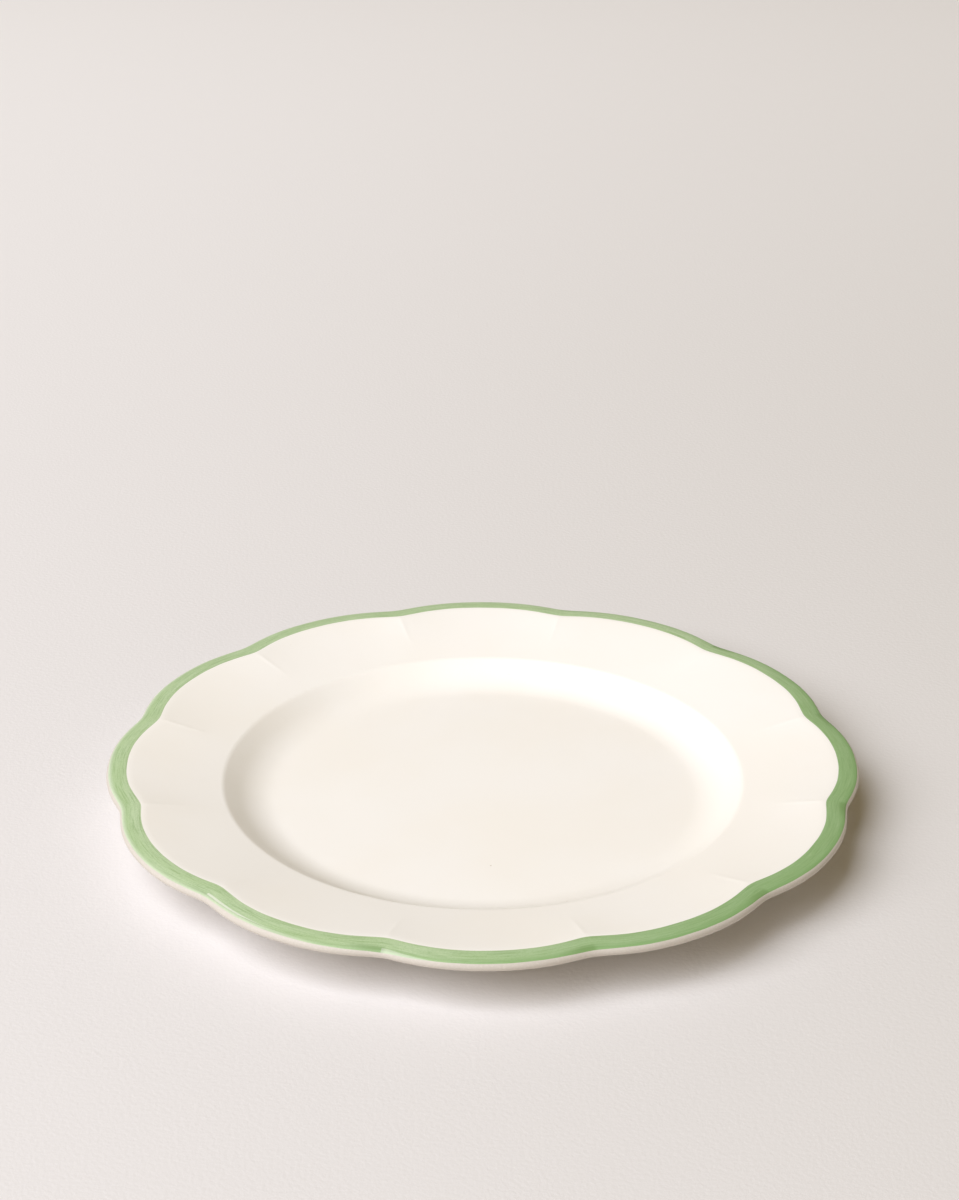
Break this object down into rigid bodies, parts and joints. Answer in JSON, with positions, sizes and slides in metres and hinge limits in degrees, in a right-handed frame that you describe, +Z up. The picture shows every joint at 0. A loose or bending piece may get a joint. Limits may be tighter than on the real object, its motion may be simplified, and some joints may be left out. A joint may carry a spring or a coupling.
{
  "type": "dinner plate",
  "caption": "Scalloped china dinner plate with a hollowed well, radially creased rim, painted lip band and foot ring.",
  "frame": {"origin": "centre of the foot ring's bearing face, on the surface that the plate stands on", "axes": "+Z up out of the well; +X and +Y each run out through the crown of a lobe"},
  "size_m": [0.28, 0.28, 0.021],
  "materials": {
    "biscuit": "matt, unglazed fired clay",
    "cream_glaze": "glossy cream glaze",
    "green_enamel": "glossy brushed enamel"
  },
  "bodies": {
    "root": {"plate_body": "biscuit", "outer_glaze": "cream_glaze", "green_band": "green_enamel", "base_glaze": "cream_glaze"}
  },
  "joints": []
}
